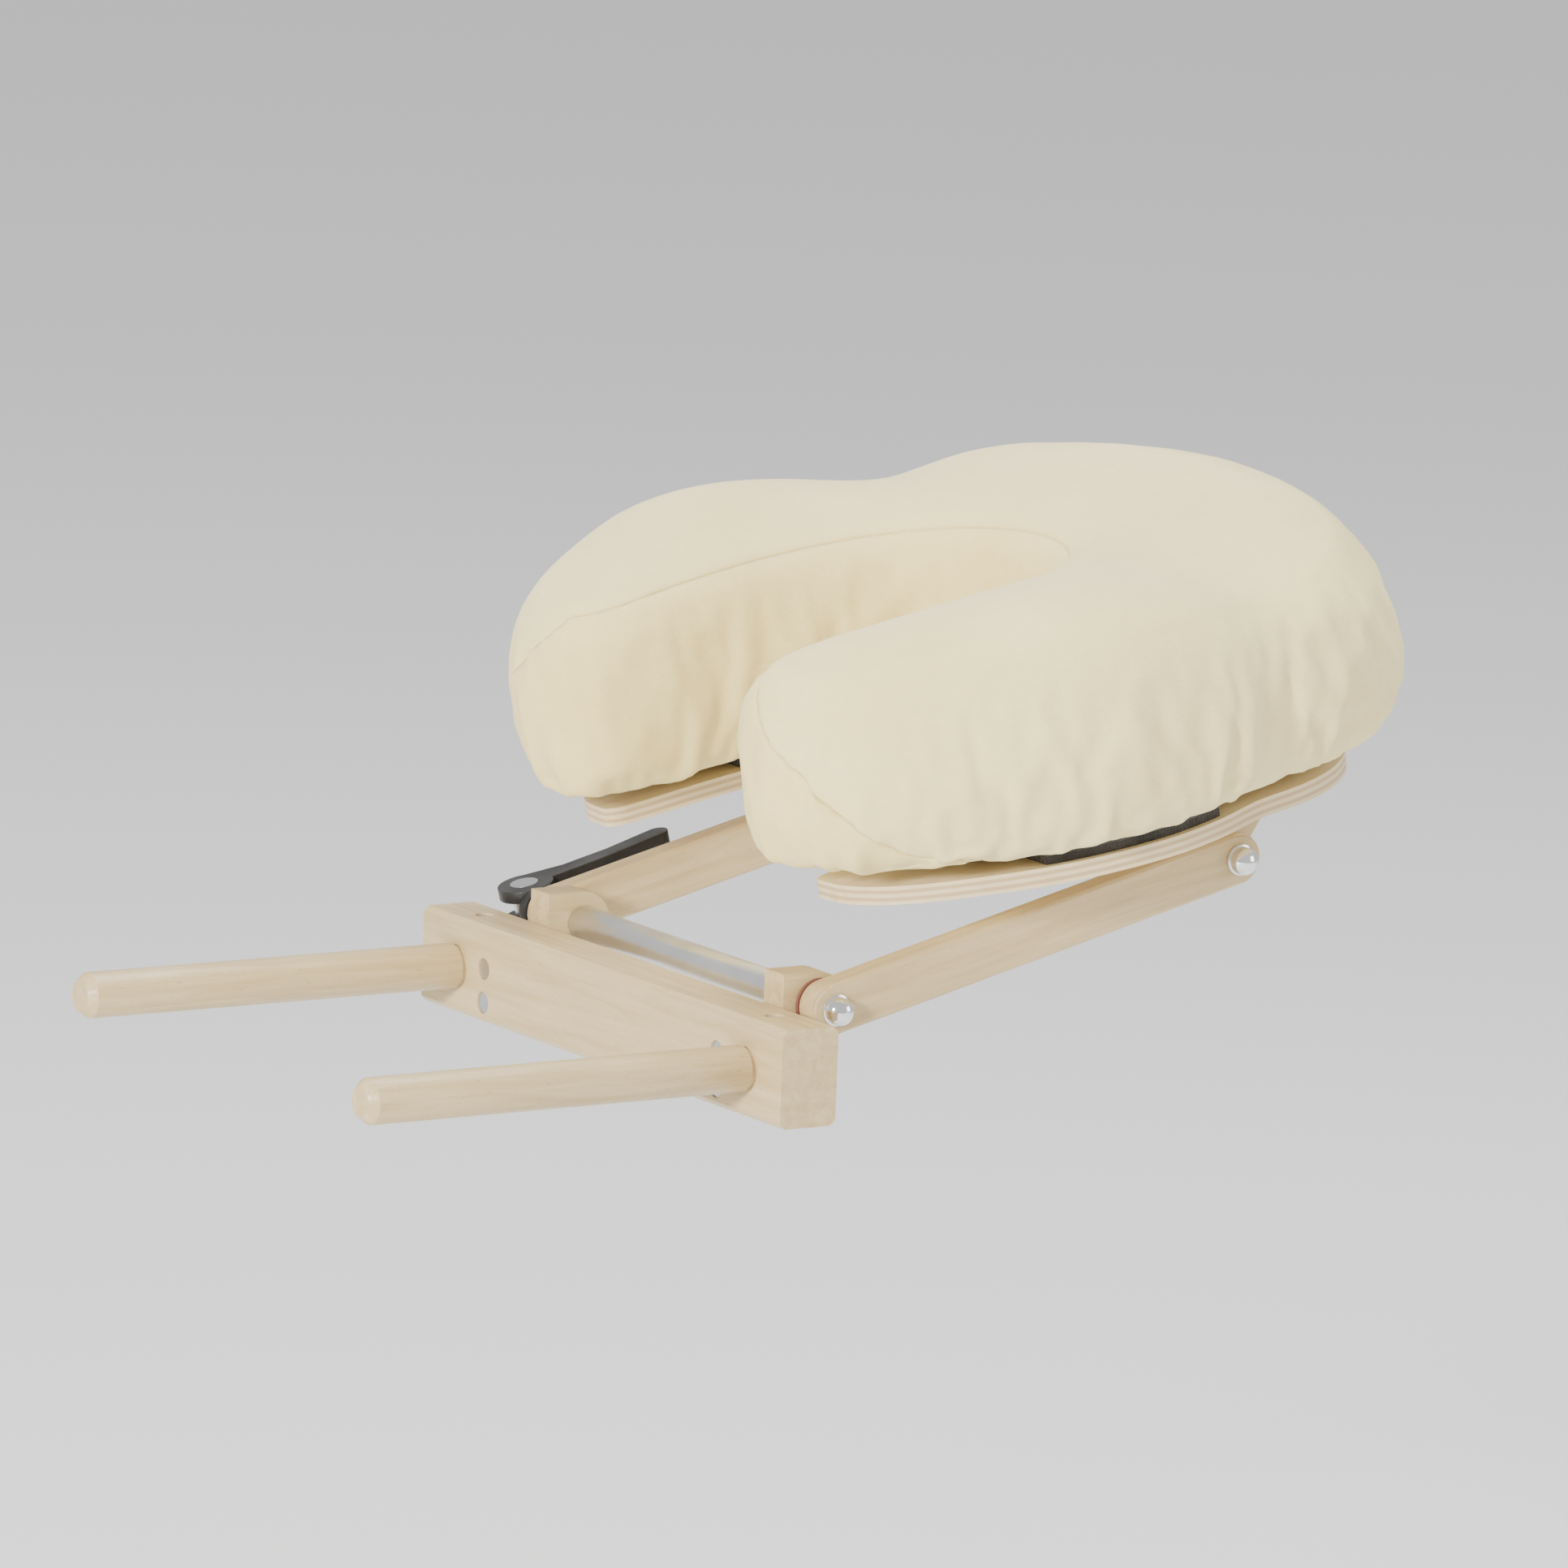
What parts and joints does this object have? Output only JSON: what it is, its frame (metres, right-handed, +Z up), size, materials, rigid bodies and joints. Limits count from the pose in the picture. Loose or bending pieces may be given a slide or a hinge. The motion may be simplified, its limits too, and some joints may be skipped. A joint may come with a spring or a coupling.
{
  "type": "face cradle cushion",
  "caption": "Horseshoe face cushion in a fitted cloth cover, held by hook tape on a tilting plywood platform with swing arms, lock levers and a crossbar with dowel posts.",
  "frame": {"origin": "centre of the crossbar's table-side face, level with the two posts", "axes": "+X away from the table, +Y across the table on the lock lever side, +Z up"},
  "size_m": [0.4296, 0.306, 0.2042],
  "materials": {
    "hardwood": "clear satin lacquer",
    "plywood": "clear satin lacquer",
    "zinc_steel": "bright zinc plate",
    "aluminium_tube": "plain drawn tube",
    "bright_nut": "polished plate",
    "fibre_disc": "dull pressed fibre",
    "black_plastic": "fine moulded texture",
    "hook_tape": "woven hook tape",
    "loop_tape": "brushed loop tape",
    "foam": "open cell foam",
    "vinyl": "soft matt vinyl",
    "cover_cloth": "smooth soft cloth",
    "elastic": "braided elastic"
  },
  "bodies": {
    "base": {"crossbar": "hardwood", "left_post": "hardwood", "right_post": "hardwood", "left_base_ear": "plywood", "right_base_ear": "plywood", "ear_screws": "zinc_steel", "post_screws": "zinc_steel"},
    "swing_arms": {"left_swing_arm": "plywood", "right_swing_arm": "plywood", "base_pivot_rod": "zinc_steel", "tilt_pivot_rod": "zinc_steel", "base_spacer_tube": "aluminium_tube", "tilt_spacer_tube": "aluminium_tube", "base_dome_nut": "bright_nut", "tilt_dome_nut": "bright_nut", "friction_discs": "fibre_disc", "base_cam_cup": "black_plastic", "tilt_cam_cup": "black_plastic", "base_barrel_pin": "zinc_steel", "tilt_barrel_pin": "zinc_steel"},
    "base_lever": {"base_lock_lever": "black_plastic"},
    "tilt_lever": {"tilt_lock_lever": "black_plastic"},
    "platform": {"platform_plate": "plywood", "left_bracket": "plywood", "right_bracket": "plywood", "bracket_screws": "zinc_steel", "left_hook_tape": "hook_tape", "right_hook_tape": "hook_tape", "end_hook_tape": "hook_tape"},
    "cushion": {"firm_foam": "foam", "soft_foam": "foam", "vinyl_upholstery": "vinyl", "left_loop_patch": "loop_tape", "right_loop_patch": "loop_tape", "end_loop_patch": "loop_tape", "cover_panel": "cover_cloth", "cover_slot_strip": "cover_cloth", "hem_elastic": "elastic"}
  },
  "joints": [
    {"name": "arm_lift", "type": "hinge", "parent": "base", "child": "swing_arms", "pos_m": [0.036, 0, 0.017], "axis": [0, -1, 0], "range_deg": [-50, 35]},
    {"name": "head_tilt", "type": "hinge", "parent": "swing_arms", "child": "platform", "pos_m": [0.19901, 0, 0.05764], "axis": [0, -1, 0], "range_deg": [-45, 6]},
    {"name": "base_lever_open", "type": "hinge", "parent": "swing_arms", "child": "base_lever", "pos_m": [0.036, 0.10735, 0.017], "axis": [-0.2419, 0, 0.9703], "range_deg": [0, 110]},
    {"name": "tilt_lever_open", "type": "hinge", "parent": "swing_arms", "child": "tilt_lever", "pos_m": [0.19901, 0.10735, 0.05764], "axis": [0.2419, 0, -0.9703], "range_deg": [0, 110]},
    {"name": "cushion_lift", "type": "slide", "parent": "platform", "child": "cushion", "axis": [-0.1822, 0, 0.9833], "range_m": [0, 0.12]}
  ]
}
